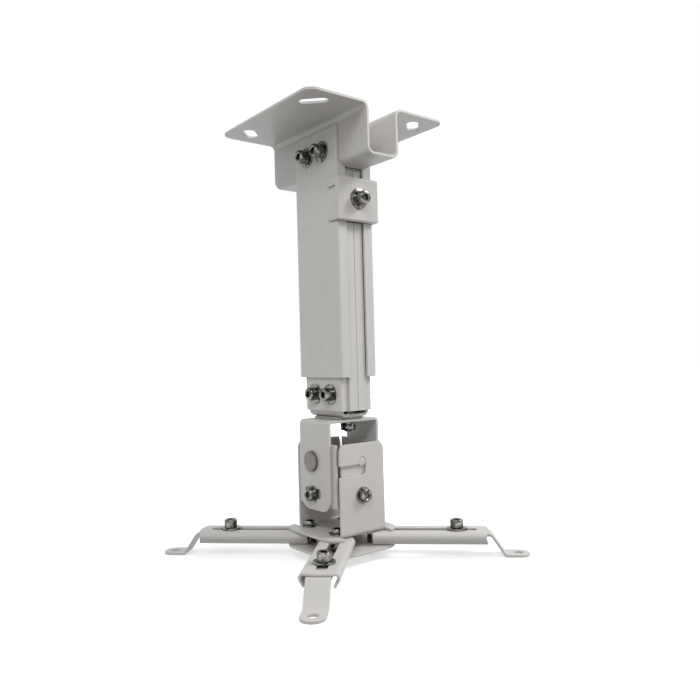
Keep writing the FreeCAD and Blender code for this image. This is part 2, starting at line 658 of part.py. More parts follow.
def lower_yoke():
    """A folded U with a wide base. Each upright hooks over a roll pin through an L-shaped slot."""
    half = BASE_SHEET / 2
    side = BASE_PLATE_X - half
    top = TRAY_TOP
    profile = [(-side, top), (-side, BASE_UNDER + half), (side, BASE_UNDER + half), (side, top)]
    uprights = bent_sheet(profile, BASE_BEND, BASE_SHEET, X, Z, Vector(0, BASE_PLATE_Y / 2, 0),
                          -Y * BASE_PLATE_Y)
    corners = [e for e in edges_along(uprights, X) if e.Length < 2 * BASE_SHEET and e.CenterOfMass.z > top - 1]
    uprights = uprights.makeFillet(BASE_PLATE_ROUND, corners)
    base = rounded_slab(BASE_HALF, BASE_CORNER, BASE_UNDER, BASE_TOP)
    relief = BASE_PLATE_Y / 2 + BASE_SHEET / 2
    fold = BASE_PLATE_X - BASE_SHEET - BASE_BEND
    for sx in (-1, 1):
        x0, x1 = sorted((sx * fold, sx * (BASE_HALF + 1)))
        base = base.cut(block(x0, x1, -relief, relief, BASE_UNDER - 1, BASE_TOP + 1))
    pivot = Vector(-BASE_HALF, 0, PIVOT_Z)
    across = X * (2 * BASE_HALF)
    hook = ROLL_PIN_R + HOOK_FIT
    low = pivot - Z * HOOK_LIFT
    cuts = [
        slot(pivot, low - Z * (HOOK_WIDTH / 2 - hook), hook, across),
        block(0, BASE_HALF, -BASE_PLATE_Y, 0, low.z - HOOK_WIDTH / 2, low.z + HOOK_WIDTH / 2),
        block(-BASE_HALF, 0, 0, BASE_PLATE_Y, low.z - HOOK_WIDTH / 2, low.z + HOOK_WIDTH / 2),
        rod(HOLE_R, Vector(-BASE_HALF, 0, LOCK_Z), Vector(BASE_HALF, 0, LOCK_Z)),
    ]
    for sx in (-1, 1):
        for sy in (-1, 1):
            hub = Vector(sx * HUB_OFFSET, sy * HUB_OFFSET, BASE_UNDER - 1)
            cuts.append(rod(HOLE_R, hub, hub + Z * (BASE_SHEET + 2)))
    return joined([uprights, base]).cut(cuts)


def roll_locks():
    screws, washers, nuts = [], [], []
    inside = TRAY_X / 2 - TRAY_SHEET - RUN_GAP
    for side in (-1, 1):
        seat = Vector(side * BASE_PLATE_X, 0, LOCK_Z)
        grip = BASE_PLATE_X - inside + WASHER_THICK + NUT_HEIGHT + SCREW_TIP
        screw, pair = screw_set(seat, X * side, WASHER_R, grip, False, head=LOW_HEAD_HEIGHT)
        screws.append(screw)
        washers += pair + [stood(washer(WASHER_R), Vector(side * inside, 0, LOCK_Z), X * -side)]
        nuts.append(stood(hex_nut(), Vector(side * (inside - WASHER_THICK), 0, LOCK_Z), X * -side))
    return screws, washers, nuts


def around(shape, number):
    """A shape drawn along +X, turned to one of the four arms."""
    turned = shape.copy()
    turned.rotate(Vector(0, 0, 0), Z, 45 + 360 / ARM_COUNT * number)
    return turned


def lower_plate():
    plate = rounded_slab(PLATE_HALF, PLATE_CORNER, PLATE_UNDER, PLATE_TOP)
    hole = rod(HOLE_R, Vector(HUB_RADIUS, 0, PLATE_UNDER - 1), Vector(HUB_RADIUS, 0, PLATE_TOP + 1))
    return plate.cut([around(hole, i) for i in range(ARM_COUNT)])


def hub_fasteners():
    """Screws, washers, nuts and spacers of the four arm pivots."""
    seat = Vector(HUB_RADIUS, 0, BASE_TOP)
    grip = BASE_TOP - PLATE_UNDER + NUT_HEIGHT
    screw, pair = screw_set(seat, Z, WASHER_R, grip, False, HUB_HEAD_R, LOW_HEAD_HEIGHT)
    nut = stood(hex_nut(), Vector(HUB_RADIUS, 0, PLATE_UNDER), -Z)
    high = Vector(HUB_RADIUS, 0, ARM_TOP - ARM_SHEET - RUN_GAP)
    low = Vector(HUB_RADIUS, 0, PLATE_TOP)
    spacer = rod(SPACER_R, low, high).cut(rod(NUT_BORE, low, high))
    numbers = range(ARM_COUNT)
    return ([around(screw, i) for i in numbers], [around(w, i) for i in numbers for w in pair],
            [around(nut, i) for i in numbers], [around(spacer, i) for i in numbers])


def arm():
    """A rolled C channel, open below, with a round inner end on the hub and one long slot."""
    half = ARM_SHEET / 2
    radius = ARM_BEND + half
    turn = math.radians(ARM_CURL)
    tangent = radius * math.tan(turn / 2)
    flat = ARM_WIDTH / 2 - half - radius
    corner = flat + tangent
    lean = Vector(math.cos(turn), math.sin(turn), 0)
    curl_low = radius - radius * math.cos(turn)
    tip = tangent + (ARM_HEIGHT - ARM_SHEET - curl_low) / lean.y
    tip_y, tip_z = corner + tip * lean.x, -half - tip * lean.y
    profile = [(-tip_y, tip_z), (-corner, -half), (corner, -half), (tip_y, tip_z)]
    start = Vector(HUB_RADIUS, 0, ARM_TOP)
    channel = bent_sheet(profile, ARM_BEND, ARM_SHEET, Y, Z, start, X * ARM_LENGTH)
    nose = rod(flat, start - Z * ARM_SHEET, start)
    middle = start + X * (ARM_LENGTH - ARM_END_R)
    end = joined([
        rod(ARM_END_R, middle - Z * (ARM_HEIGHT + 1), middle + Z),
        block(start.x, middle.x, -ARM_END_R, ARM_END_R, start.z - ARM_HEIGHT - 1, start.z + 1),
    ])
    sweep = Z * (ARM_SHEET + 2)
    deep = start - Z * (ARM_SHEET + 1)
    cuts = [
        rod(SHANK_R + PIVOT_FIT, deep, deep + sweep),
        slot(deep + X * ARM_SLOT_IN, deep + X * (ARM_LENGTH - ARM_SLOT_END), ARM_SLOT / 2, sweep),
    ]
    return joined([channel.common(end), nose]).cut(cuts)


def foot():
    """A strip that slides inside the arm, bent down and out to a round toe with one hole."""
    half = FOOT_SHEET / 2
    upper = FOOT_TOP - half
    lower = FOOT_LEVEL + half
    fall = (upper - lower) / math.tan(math.radians(FOOT_SLOPE))
    screw_x = HUB_RADIUS + FOOT_SCREW_AT
    bend_x = screw_x + FOOT_STRAIGHT
    profile = [(screw_x - FOOT_TAIL, upper), (bend_x, upper), (bend_x + fall, lower),
               (screw_x + FOOT_REACH, lower)]
    strip = bent_sheet(profile, FOOT_BEND, FOOT_SHEET, X, Z, Vector(0, FOOT_WIDTH / 2, 0), -Y * FOOT_WIDTH)
    ends = [e for e in edges_along(strip, Z) if e.CenterOfMass.x > screw_x + FOOT_REACH - 1]
    strip = strip.makeFillet(FOOT_WIDTH / 2 - 0.01, ends)
    toe = Vector(screw_x + FOOT_REACH - FOOT_HOLE_IN, 0, FOOT_LEVEL - 1)
    cuts = [
        rod(HOLE_R, Vector(screw_x, 0, FOOT_TOP - FOOT_SHEET - 1), Vector(screw_x, 0, FOOT_TOP + 1)),
        rod(FOOT_HOLE_R, toe, toe + Z * (FOOT_SHEET + 2)),
    ]
    return strip.cut(cuts)


def foot_fasteners():
    screw_x = HUB_RADIUS + FOOT_SCREW_AT
    nut_z = FOOT_TOP - FOOT_SHEET
    seat = Vector(screw_x, 0, ARM_TOP + RUN_GAP)
    grip = seat.z - nut_z + NUT_HEIGHT
    screw, pair = screw_set(seat, Z, WIDE_WASHER_R, grip, False)
    nut = stood(hex_nut(), Vector(screw_x, 0, nut_z), -Z)
    return screw, pair[0], nut


def main():
    nodes = {
        "ceiling_bracket": ceiling_bracket(),
        "outer_tube": outer_tube(),
        "inner_tube": inner_tube(),
        "guide_liner": guide_liner(),
        "height_collar": height_collar(),
        "swivel_spigot": swivel_spigot(),
        "swivel_rivet": swivel_rivet(),
        "swivel_pad": swivel_pad(),
        "upper_yoke": upper_yoke(),
        "tilt_bracket": tilt_bracket(),
        "tilt_rivets": tilt_rivets(),
        "roll_pins": roll_pins(),
        "lower_yoke": lower_yoke(),
        "lower_plate": lower_plate(),
    }
    groups = {
        "top": through_pair(-TOP_SCREW_DROP, OUTER_Y / 2, WIDE_WASHER_R, True),
        "collar": collar_fasteners(),
        "spigot": through_pair(SPIGOT_SCREW_Z, INNER_Y / 2, WIDE_WASHER_R, False),
        "swivel_lock": swivel_lock(),
        "tilt_lock": tilt_locks(),
        "roll_lock": roll_locks(),
    }
    for name, (screws, washers, nuts) in groups.items():
        nodes[name + "_screws"] = screws
        nodes[name + "_washers"] = washers
        nodes[name + "_nuts"] = nuts
    screws, washers, nuts, spacers = hub_fasteners()
    nodes.update({"hub_screws": screws, "hub_washers": washers, "hub_nuts": nuts, "hub_spacers": spacers})
    channel, strip = arm(), foot()
    screw, flat, nut = foot_fasteners()
    for i in range(ARM_COUNT):
        nodes[f"arm_{i + 1}"] = around(channel, i)
        nodes[f"foot_{i + 1}"] = around(strip, i)
        nodes[f"foot_screw_{i + 1}"] = around(screw, i)
        nodes[f"foot_washer_{i + 1}"] = around(flat, i)
        nodes[f"foot_nut_{i + 1}"] = around(nut, i)
    os.makedirs("parts", exist_ok=True)
    for name, shape in nodes.items():
        solids = shape if isinstance(shape, list) else [shape]
        body = Part.makeCompound(solids) if len(solids) > 1 else solids[0]
        body.exportStep(f"parts/{name}.step")


main()
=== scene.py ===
# Projector ceiling mount, finished for a studio picture. Metres, +Z up: the ceiling face is z = 0, the
# column stands on x = y = 0 and the outer tube's open side looks along +X.
import json
import math

import bmesh
import bpy
from mathutils import Matrix, Vector


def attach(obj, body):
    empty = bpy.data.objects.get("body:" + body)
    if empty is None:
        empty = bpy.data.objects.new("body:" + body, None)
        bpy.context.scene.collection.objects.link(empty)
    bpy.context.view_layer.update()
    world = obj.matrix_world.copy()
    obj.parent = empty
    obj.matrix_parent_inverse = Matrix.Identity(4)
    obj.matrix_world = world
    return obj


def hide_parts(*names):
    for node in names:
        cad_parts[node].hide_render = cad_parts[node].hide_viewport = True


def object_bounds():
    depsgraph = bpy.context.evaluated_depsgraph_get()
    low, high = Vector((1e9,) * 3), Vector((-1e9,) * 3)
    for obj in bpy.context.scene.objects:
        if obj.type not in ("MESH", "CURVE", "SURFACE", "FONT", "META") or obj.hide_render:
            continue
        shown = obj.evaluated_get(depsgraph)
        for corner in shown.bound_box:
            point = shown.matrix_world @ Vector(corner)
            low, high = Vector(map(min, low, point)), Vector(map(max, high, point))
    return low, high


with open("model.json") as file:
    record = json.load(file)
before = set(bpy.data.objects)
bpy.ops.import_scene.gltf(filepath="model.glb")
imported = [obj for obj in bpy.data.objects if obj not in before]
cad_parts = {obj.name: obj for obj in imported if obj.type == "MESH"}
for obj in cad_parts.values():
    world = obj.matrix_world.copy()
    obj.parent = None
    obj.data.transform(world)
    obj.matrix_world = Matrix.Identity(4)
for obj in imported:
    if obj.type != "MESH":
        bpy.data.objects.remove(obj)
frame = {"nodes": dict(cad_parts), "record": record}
cad_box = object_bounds()
nodes = frame["nodes"]
bodies = frame["record"]["behaviour"]["bodies"]
body_of_node = {node: body for body, group in bodies.items() for node in group}

MM = 0.001
ARMS = range(1, 5)

# The fasteners' own sizes, in millimetres. Bores are radii, and a flat is half the way across its hexagon.
SOCKET_FLAT = 3.0
SHANK_R = 3.95
PITCH = 1.25
THREAD_DEPTH = 0.6
THREAD_SHOWN = 6.0
WASHER_BORE = 4.2
WASHER_THICK = 1.6
SPRING_R = 7.3
NUT_FLAT = 6.5
NUT_HEIGHT = 6.5
NUT_BORE = 4.0

# What tells the parts of a CAD fastener apart, in millimetres
HEAD_FROM = 5.0  # corners further out are on a screw's head
FLAT_WASHER_FROM = 7.6  # corners further out are on a flat washer
SPLIT_WASHER_FROM = 1.0  # more height than this, alone or over a flat washer, is a split one's
ON_RIM = 0.5  # a corner this near a rim or an end is on it

JOIN_WITHIN = 0.002  # CAD corners this near each other, in millimetres, are one
FLAT_WITHIN = math.radians(0.4)  # CAD faces that meet at less than this are one flat
ROUND_STEPS = 36  # a multiple of 12, so that a hexagon's corners fall on steps
SPLIT_STEPS = 34
SPLIT_TURN = math.radians(348)
SCREW_TURN = 2.4  # radians from one screw's socket to the next
EDGE_ROUND = 0.35  # millimetres that a coat takes off a sheet's edge
SMOOTH_BELOW = math.radians(35)


def linear(code):
    """An sRGB hex colour as linear red, green, blue and alpha."""
    parts = [int(code[i : i + 2], 16) / 255 for i in (1, 3, 5)]
    return [p / 12.92 if p <= 0.04045 else ((p + 0.055) / 1.055) ** 2.4 for p in parts] + [1.0]


def cells(size):
    """How many cells of a pattern lie along a metre, for a cell of this size in millimetres."""
    return 1 / (size * MM)


def add(tree, kind, sockets=(), **settings):
    """Adds a node, sets its settings, and gives each of its sockets a value or a link.

    A socket goes by its name, or by its number where names repeat: a colour Mix blends its sockets 6 and 7
    by its socket 0, and the outcome is its output 2.
    """
    node = tree.nodes.new(kind)
    for name, value in settings.items():
        setattr(node, name, value)
    for name, value in dict(sockets).items():
        if isinstance(value, bpy.types.NodeSocket):
            tree.links.new(value, node.inputs[name])
        else:
            node.inputs[name].default_value = value
    return node


def new_tree(owner):
    """The empty node tree of a material or world."""
    owner.use_nodes = True
    owner.node_tree.nodes.clear()
    return owner.node_tree


def grey_powder_coat():
    """Polyester powder coat baked on folded steel: satin, its highlights softened by a faint orange peel.

    The shade drifts over 36 mm and the peel's bumps are 1.7 mm apart, as on a real coat. The pigment's grain
    is too fine to show and is drawn at 0.4 mm, coarse enough to show close up.
    """
    material = bpy.data.materials.new("grey_powder_coat_on_steel")
    tree = new_tree(material)
    place = add(tree, "ShaderNodeTexCoord").outputs["Object"]
    cloud = add(tree, "ShaderNodeTexNoise", {"Vector": place, "Scale": cells(36), "Detail": 3.0})
    peel = add(tree, "ShaderNodeTexNoise", {"Vector": place, "Scale": cells(1.67), "Detail": 2.0})
    grain = add(tree, "ShaderNodeTexNoise", {"Vector": place, "Scale": cells(0.385), "Detail": 1.0})
    tint = add(
        tree,
        "ShaderNodeMix",
        {0: cloud.outputs[0], 6: linear("#bcbab7"), 7: linear("#c6c3c0")},
        data_type="RGBA",
    )
    speck = add(
        tree,
        "ShaderNodeMapRange",
        {"Value": grain.outputs[0], "From Min": 0.3, "From Max": 0.7, "To Min": 0.96, "To Max": 1.0},
    )
    colour = add(
        tree,
        "ShaderNodeMix",
        {0: 1.0, 6: tint.outputs[2], 7: speck.outputs[0]},
        data_type="RGBA",
        blend_type="MULTIPLY",
    )
    gloss = add(tree, "ShaderNodeMapRange", {"Value": peel.outputs[0], "To Min": 0.36, "To Max": 0.52})
    bump = add(tree, "ShaderNodeBump", {"Height": peel.outputs[0], "Strength": 0.35, "Distance": 0.05 * MM})
    shader = add(
        tree,
        "ShaderNodeBsdfPrincipled",
        {"Base Color": colour.outputs[2], "Roughness": gloss.outputs[0], "Normal": bump.outputs[0]},
    )
    add(tree, "ShaderNodeOutputMaterial", {"Surface": shader.outputs[0]})
    return material


def coated_aluminium():
    """Extruded aluminium under a thin grey coat: smoother than the steel, with faint lines from its die.

    The shade drifts over 45 mm and the coat's bumps are 1.4 mm apart. The die lines are 167 mm long, and as
    real ones are too fine to show, they are drawn 1.1 mm apart, coarse enough to show close up.
    """
    material = bpy.data.materials.new("grey_coat_on_extruded_aluminium")
    tree = new_tree(material)
    place = add(tree, "ShaderNodeTexCoord").outputs["Object"]
    drawn = add(tree, "ShaderNodeMapping", {"Vector": place, "Scale": (cells(1.11), cells(1.11), cells(167))})
    lines = add(tree, "ShaderNodeTexNoise", {"Vector": drawn.outputs[0], "Scale": 1.0, "Detail": 3.0})
    cloud = add(tree, "ShaderNodeTexNoise", {"Vector": place, "Scale": cells(45), "Detail": 2.0})
    peel = add(tree, "ShaderNodeTexNoise", {"Vector": place, "Scale": cells(1.43), "Detail": 1.0})
    tint = add(
        tree,
        "ShaderNodeMix",
        {0: cloud.outputs[0], 6: linear("#bfbdba"), 7: linear("#c8c6c3")},
        data_type="RGBA",
    )
    streak = add(
        tree,
        "ShaderNodeMapRange",
        {"Value": lines.outputs[0], "From Min": 0.3, "From Max": 0.7, "To Min": 0.985, "To Max": 1.0},
    )
    colour = add(
        tree,
        "ShaderNodeMix",
        {0: 1.0, 6: tint.outputs[2], 7: streak.outputs[0]},
        data_type="RGBA",
        blend_type="MULTIPLY",
    )
    gloss = add(tree, "ShaderNodeMapRange", {"Value": lines.outputs[0], "To Min": 0.32, "To Max": 0.46})
    drag = add(tree, "ShaderNodeBump", {"Height": lines.outputs[0], "Strength": 0.12, "Distance": 0.02 * MM})
    bump = add(
        tree,
        "ShaderNodeBump",
        {"Height": peel.outputs[0], "Strength": 0.2, "Distance": 0.04 * MM, "Normal": drag.outputs[0]},
    )
    shader = add(
        tree,
        "ShaderNodeBsdfPrincipled",
        {"Base Color": colour.outputs[2], "Roughness": gloss.outputs[0], "Normal": bump.outputs[0]},
    )
    add(tree, "ShaderNodeOutputMaterial", {"Surface": shader.outputs[0]})
    return material


def plated_steel(name, light, dark, rough_low, rough_high):
    """Zinc plated steel, turned or pressed: its colour is mottled with painted reflections, in patches of 3.9
    mm.

    Its scuffs are too fine to show and are drawn at 0.6 mm, coarse enough to show close up.
    """
    material = bpy.data.materials.new(name)
    tree = new_tree(material)
    place = add(tree, "ShaderNodeTexCoord").outputs["Object"]
    reflection_patches = add(tree, "ShaderNodeTexNoise", {"Vector": place, "Scale": cells(3.85), "Detail": 3.0})
    scuff = add(tree, "ShaderNodeTexNoise", {"Vector": place, "Scale": cells(0.556), "Detail": 2.0})
    # painted reflection: the dark and bright patches mixed into the colour below stand in for the room
    # mirrored in the metal
    painted_reflection_mask = add(tree, "ShaderNodeMapRange", {"Value": reflection_patches.outputs[0], "From Min": 0.36, "From Max": 0.64})
    colour = add(
        tree, "ShaderNodeMix", {0: painted_reflection_mask.outputs[0], 6: linear(dark), 7: linear(light)}, data_type="RGBA"
    )
    gloss = add(
        tree,
        "ShaderNodeMapRange",
        {
            "Value": scuff.outputs[0],
            "From Min": 0.3,
            "From Max": 0.7,
            "To Min": rough_low,
            "To Max": rough_high,
        },
    )
    bump = add(tree, "ShaderNodeBump", {"Height": scuff.outputs[0], "Strength": 0.25, "Distance": 0.02 * MM})
    shader = add(
        tree,
        "ShaderNodeBsdfPrincipled",
        {
            "Base Color": colour.outputs[2],
            "Metallic": 1.0,
            "Roughness": gloss.outputs[0],
            "Normal": bump.outputs[0],
        },
    )
    add(tree, "ShaderNodeOutputMaterial", {"Surface": shader.outputs[0]})
    return material


def grey_nylon():
    """Moulded grey nylon: a waxy, dull plastic, its shade even but for a drift over 17 mm.

    The spark finish from its mould is too fine to show, and drawn at 0.4 mm, coarse enough to show close up.
    """
    material = bpy.data.materials.new("moulded_grey_nylon")
    tree = new_tree(material)
    place = add(tree, "ShaderNodeTexCoord").outputs["Object"]
    cloud = add(tree, "ShaderNodeTexNoise", {"Vector": place, "Scale": cells(16.7), "Detail": 2.0})
    spark = add(tree, "ShaderNodeTexNoise", {"Vector": place, "Scale": cells(0.4), "Detail": 2.0})
    colour = add(
        tree,
        "ShaderNodeMix",
        {0: cloud.outputs[0], 6: linear("#8b8a87"), 7: linear("#989693")},
        data_type="RGBA",
    )
    gloss = add(tree, "ShaderNodeMapRange", {"Value": spark.outputs[0], "To Min": 0.4, "To Max": 0.6})
    bump = add(tree, "ShaderNodeBump", {"Height": spark.outputs[0], "Strength": 0.3, "Distance": 0.03 * MM})
    shader = add(
        tree,
        "ShaderNodeBsdfPrincipled",
        {
            "Base Color": colour.outputs[2],
            "Roughness": gloss.outputs[0],
            "IOR": 1.53,
            "Normal": bump.outputs[0],
        },
    )
    add(tree, "ShaderNodeOutputMaterial", {"Surface": shader.outputs[0]})
    return material


steel_coat = grey_powder_coat()
tube_coat = coated_aluminium()
# Both plating colour pairs are set darker than bare zinc: painted reflection of dark surroundings, mottled in
# patches
screw_plate = plated_steel(
    "bright_zinc_plated_screws", light="#8f8d8a", dark="#454341", rough_low=0.1, rough_high=0.22
)
rivet_plate = plated_steel(
    "dull_zinc_plated_rivets", light="#7a7774", dark="#686562", rough_low=0.36, rough_high=0.48
)
nylon = grey_nylon()


def shade(shape, fresh=()):
    """Smooth shading that stops at corners, and where a flat meets one of the fresh rounded strips."""
    fresh = set(fresh)
    for face in shape.faces:
        face.smooth = True
    for edge in shape.edges:
        faces = edge.link_faces
        joined = len(faces) == 2 and (faces[0] in fresh) == (faces[1] in fresh)
        edge.smooth = joined and edge.calc_face_angle(0.0) < SMOOTH_BELOW


def finished(name, node, shape, material):
    """Makes the object that stands for a CAD node and rides where that node rides."""
    mesh = bpy.data.meshes.new(name)
    shape.to_mesh(mesh)
    shape.free()
    mesh.materials.append(material)
    piece = bpy.data.objects.new(name, mesh)
    bpy.context.scene.collection.objects.link(piece)
    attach(piece, body_of_node[node])
    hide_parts(node)


def merged(node):
    """A copy of a CAD node's mesh with its corners joined and each flat face made one."""
    shape = bmesh.new()
    shape.from_mesh(nodes[node].data)
    bmesh.ops.remove_doubles(shape, verts=shape.verts, dist=JOIN_WITHIN * MM)
    bmesh.ops.dissolve_limit(shape, angle_limit=FLAT_WITHIN, verts=shape.verts, edges=shape.edges)
    return shape


def coated(node, material, width=EDGE_ROUND):
    """A sheet or extruded piece whose outer edges are rounded as a coat of paint leaves them."""
    shape = merged(node)
    shade(shape)

    def roomy(edge):
        """Whether both faces are over 2.4 roundings wide."""
        return all(face.calc_area() > 2.4 * width * MM * edge.calc_length() for face in edge.link_faces)

    outer = [edge for edge in shape.edges if not edge.smooth and edge.is_convex and roomy(edge)]
    made = bmesh.ops.bevel(
        shape,
        geom=outer,
        offset=width * MM,
        offset_type="OFFSET",
        segments=3,
        profile=0.5,
        affect="EDGES",
        clamp_overlap=False,
        material=-1,
    )
    shade(shape, made["faces"])
    finished(node + "_coated", node, shape, material)


def turned(outline, closed=False):
    """Spins an outline of radius and height, in millimetres, once round the Z axis.

    An outline's small steps are the chamfers and rounded rims that its maker gives the piece.
    """
    shape = bmesh.new()
    points = [shape.verts.new((radius, 0, height)) for radius, height in outline]
    ends = points[1:] + points[:1] if closed else points[1:]
    edges = [shape.edges.new(pair) for pair in zip(points, ends)]
    bmesh.ops.spin(
        shape,
        geom=points + edges,
        cent=(0, 0, 0),
        axis=(0, 0, 1),
        angle=math.tau,
        steps=ROUND_STEPS,
        use_merge=True,
    )
    bmesh.ops.remove_doubles(shape, verts=shape.verts, dist=0.001)
    bmesh.ops.recalc_face_normals(shape, faces=shape.faces)
    return shape


def hexagon_reach(vert, flat):
    """How far the wall of a hexagon is from the axis in this corner's direction."""
    off = (math.atan2(vert.co.y, vert.co.x) + math.pi / 6) % (math.pi / 3) - math.pi / 6
    return flat / math.cos(off)


def set_radius(vert, radius):
    """Moves a corner straight out or in to this distance from the Z axis."""
    scale = radius / math.hypot(vert.co.x, vert.co.y)
    vert.co.x *= scale
    vert.co.y *= scale


def socket_screw(length, head_r, top):
    """A cap screw with a hexagon socket, standing on its seat, with rolled thread at its tip."""
    row, point = PITCH / 4, 0.8
    socket, mouth = SOCKET_FLAT + 0.3, SOCKET_FLAT + 0.85
    rows = int(min(THREAD_SHOWN, length - 1) / row)
    tip = [(SHANK_R, point - length + i * row) for i in range(rows)]
    head = [
        (SHANK_R, 0),
        (head_r - 0.3, 0),
        (head_r, 0.3),
        (head_r, top - 1.5),
        (head_r - 0.18, top - 0.85),
        (head_r - 0.65, top - 0.3),
        (head_r - 1.2, top),
        (mouth, top),
        (socket, top - 0.5),
        (socket, top / 2),
        (0, top / 2 - 0.8),
    ]
    shape = turned([(0, -length), (SHANK_R - point, -length)] + tip + head)
    for vert in shape.verts:
        radius = math.hypot(vert.co.x, vert.co.y)
        if abs(radius - socket) < 0.01:
            set_radius(vert, hexagon_reach(vert, SOCKET_FLAT))
        elif abs(radius - SHANK_R) < 0.01 and vert.co.z < tip[-1][1] - row:
            turn = vert.co.z / PITCH - math.atan2(vert.co.y, vert.co.x) / math.tau
            set_radius(vert, SHANK_R - THREAD_DEPTH * abs(turn % 1 * 2 - 1))
    return shape


def hexagon_nut():
    """A nut chamfered on both faces, with a countersunk bore."""
    rim, low, high = NUT_FLAT - 0.3, 1.0, NUT_HEIGHT - 1.0
    outline = [(NUT_BORE, 0.5), (NUT_BORE + 0.5, 0), (rim, 0), (NUT_FLAT, low), (NUT_FLAT, high)]
    outline += [(rim, NUT_HEIGHT), (NUT_BORE + 0.5, NUT_HEIGHT), (NUT_BORE, NUT_HEIGHT - 0.5)]
    shape = turned(outline, closed=True)
    for vert in shape.verts:
        if abs(math.hypot(vert.co.x, vert.co.y) - NUT_FLAT) < 0.01:
            reach = hexagon_reach(vert, NUT_FLAT)
            cone = (reach - rim) * math.tan(math.radians(30))
            vert.co.z = cone if vert.co.z < NUT_HEIGHT / 2 else NUT_HEIGHT - cone
            set_radius(vert, reach)
    return shape


def flat_washer(radius):
    """A punched washer: one rolled-over edge, one crisp."""
    thick = WASHER_THICK
    outline = [(WASHER_BORE, 0), (radius - 0.1, 0), (radius, 0.1), (radius, thick - 0.5)]
    outline += [(radius - 0.15, thick - 0.15), (radius - 0.5, thick), (WASHER_BORE + 0.3, thick)]
    return turned(outline + [(WASHER_BORE, thick - 0.3)], closed=True)


def split_washer(thick):
    """A split spring washer pressed nearly flat, its cut ends a little apart."""
    rise, bore, out, soft = 0.25, WASHER_BORE, SPRING_R, 0.25
    high = thick - rise
    shape = bmesh.new()
    outline = [(bore, soft), (bore + soft, 0), (out - soft, 0), (out, soft), (out, high - soft)]
    outline += [(out - soft, high), (bore + soft, high), (bore, high - soft)]
    points = [shape.verts.new((radius, 0, height)) for radius, height in outline]
    section = shape.faces.new(points)
    bmesh.ops.spin(
        shape,
        geom=[section],
        cent=(0, 0, 0),
        axis=(0, 0, 1),
        dvec=(0, 0, rise / SPLIT_STEPS),
        angle=SPLIT_TURN,
        steps=SPLIT_STEPS,
    )
    bmesh.ops.recalc_face_normals(shape, faces=shape.faces)
    return shape


def rivet(head_r, head, shank_r, grip, tail_r, tail):
    """A solid rivet standing on its seat: a flat head with a rolled rim, and a pressed tail."""
    low = -grip - tail
    outline = [(0, low), (tail_r - 1.2, low), (tail_r - 0.3, low + 0.3), (tail_r, low + 0.8)]
    outline += [(tail_r, -grip), (shank_r, -grip), (shank_r, 0), (head_r - 0.2, 0), (head_r, 0.25)]
    outline += [(head_r, head - 0.9), (head_r - 0.15, head - 0.45), (head_r - 0.5, head - 0.18)]
    return turned(outline + [(head_r - 1.0, head - 0.05), (head_r * 0.6, head), (0, head)])


def solids(node):
    """The corners of each separate solid in a CAD node."""
    shape = merged(node)
    left, found = set(shape.verts), []
    while left:
        front, island = [left.pop()], []
        while front:
            vert = front.pop()
            island.append(vert.co.copy())
            near = {edge.other_vert(vert) for edge in vert.link_edges} & left
            left -= near
            front.extend(near)
        found.append(island)
    shape.free()
    return sorted(found, key=lambda island: tuple(round(sum(p[i] for p in island), 4) for i in range(3)))


def measured(island, slim):
    """A solid of revolution's axis, its centre, and each corner's height and radius about them.

    A slim one is longer along its axis than across it, and any other is shorter.
    """
    low = Vector([min(p[i] for p in island) for i in range(3)])
    high = Vector([max(p[i] for p in island) for i in range(3)])
    size = high - low
    order = sorted(range(3), key=lambda i: size[i])
    axis = Vector()
    axis[order[-1] if slim else order[0]] = 1
    centre = (low + high) / 2
    rings = []
    for point in island:
        height = (point - centre).dot(axis)
        rings.append((height, (point - centre - axis * height).length))
    return axis, centre, rings


def stood(centre, axis, height, turn=0.0):
    """Takes a piece made in millimetres on the Z axis to a height along an axis through a centre."""
    upright = Vector((0, 0, 1)).rotation_difference(axis).to_matrix().to_4x4()
    spun = Matrix.Rotation(turn, 4, "Z")
    return Matrix.Translation(centre + axis * height) @ upright @ spun @ Matrix.Scale(MM, 4)


def put(target, shape, matrix):
    """Adds a shape to the target at its place."""
    shade(shape)
    shape.transform(matrix)
    mesh = bpy.data.meshes.new("shape")
    shape.to_mesh(mesh)
    shape.free()
    target.from_mesh(mesh)
    bpy.data.meshes.remove(mesh)


def plated_screws(node):
    """Cap screws where the CAD has them, each head turned its own way."""
    target = bmesh.new()
    for i, island in enumerate(solids(node)):
        axis, centre, rings = measured(island, slim=True)
        wide = [height for height, radius in rings if radius > HEAD_FROM * MM]
        if sum(wide) < 0:
            axis, rings = -axis, [(-height, radius) for height, radius in rings]
            wide = [-height for height in wide]
        seat = min(wide)
        length = (seat - min(height for height, radius in rings)) / MM
        reach = max(radius for height, radius in rings) / MM
        top = max(wide) / MM - seat / MM
        put(target, socket_screw(length, reach, top), stood(centre, axis, seat, SCREW_TURN * i))
    finished(node + "_plated", node, target, screw_plate)


def plated_nuts(node):
    """Nuts where the CAD has them, turned to the same flats."""
    target = bmesh.new()
    for island in solids(node):
        axis, centre, rings = measured(island, slim=False)
        base = stood(centre, axis, -NUT_HEIGHT / 2 * MM)
        far = max(range(len(island)), key=lambda i: rings[i][1])
        corner = base.inverted() @ island[far]
        turn = math.atan2(corner.y, corner.x) - math.pi / 6
        put(target, hexagon_nut(), base @ Matrix.Rotation(turn, 4, "Z"))
    finished(node + "_plated", node, target, screw_plate)


